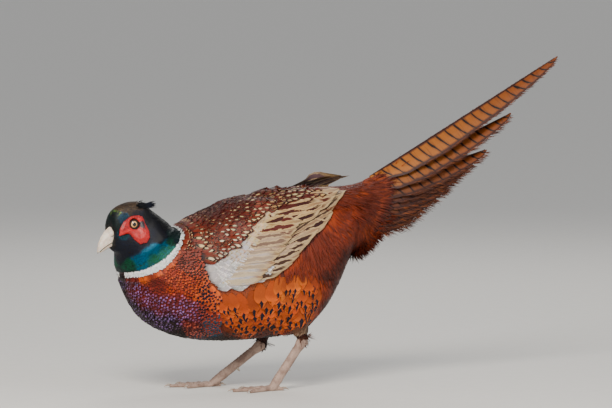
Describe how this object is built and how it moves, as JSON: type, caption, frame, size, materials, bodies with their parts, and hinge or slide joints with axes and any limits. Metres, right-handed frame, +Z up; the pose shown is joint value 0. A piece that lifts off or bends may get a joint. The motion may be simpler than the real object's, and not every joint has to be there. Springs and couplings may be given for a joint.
{
  "type": "common pheasant",
  "caption": "Life-size common pheasant cock, still, walking low with its tail raised, with folded wings, red face skin and two scaled legs.",
  "frame": {"origin": "centre of the bounding box in plan, at the floor", "axes": "-X is the way the bird walks, -Y is its left side, +Z up"},
  "size_m": [0.6017, 0.1488, 0.4095],
  "materials": {
    "breast_feathers": "copper and orange feathers with dark tips",
    "neck_feathers": "blue-green glossy feathers with a white ring",
    "wing_feathers": "buff, grey and chestnut feathers",
    "rump_feathers": "rust-coloured hair-like feathers",
    "tail_feathers": "ochre feathers with narrow dark bars",
    "thigh_feathers": "soft dark brown feathers",
    "red_skin": "scarlet pimpled bare skin",
    "leg_scale": "grey-brown horny scales",
    "horn": "ivory horn",
    "eye": "glossy pale iris with a black pupil"
  },
  "bodies": {
    "root": {"torso": "breast_feathers", "neck": "neck_feathers", "head": "neck_feathers", "ear_tuft_left": "neck_feathers", "ear_tuft_right": "neck_feathers", "wattle_left": "red_skin", "wattle_right": "red_skin", "eye_left": "eye", "eye_right": "eye", "bill_upper": "horn", "bill_lower": "horn", "wing_left": "wing_feathers", "wing_right": "wing_feathers", "rump": "rump_feathers", "tail": "tail_feathers", "thigh_left": "thigh_feathers", "thigh_right": "thigh_feathers", "shank_left": "leg_scale", "shank_right": "leg_scale", "spur_left": "horn", "spur_right": "horn", "foot_left": "leg_scale", "foot_right": "leg_scale", "claw_left_inner": "horn", "claw_left_middle": "horn", "claw_left_outer": "horn", "claw_left_hind": "horn", "claw_right_inner": "horn", "claw_right_middle": "horn", "claw_right_outer": "horn", "claw_right_hind": "horn"}
  },
  "joints": []
}
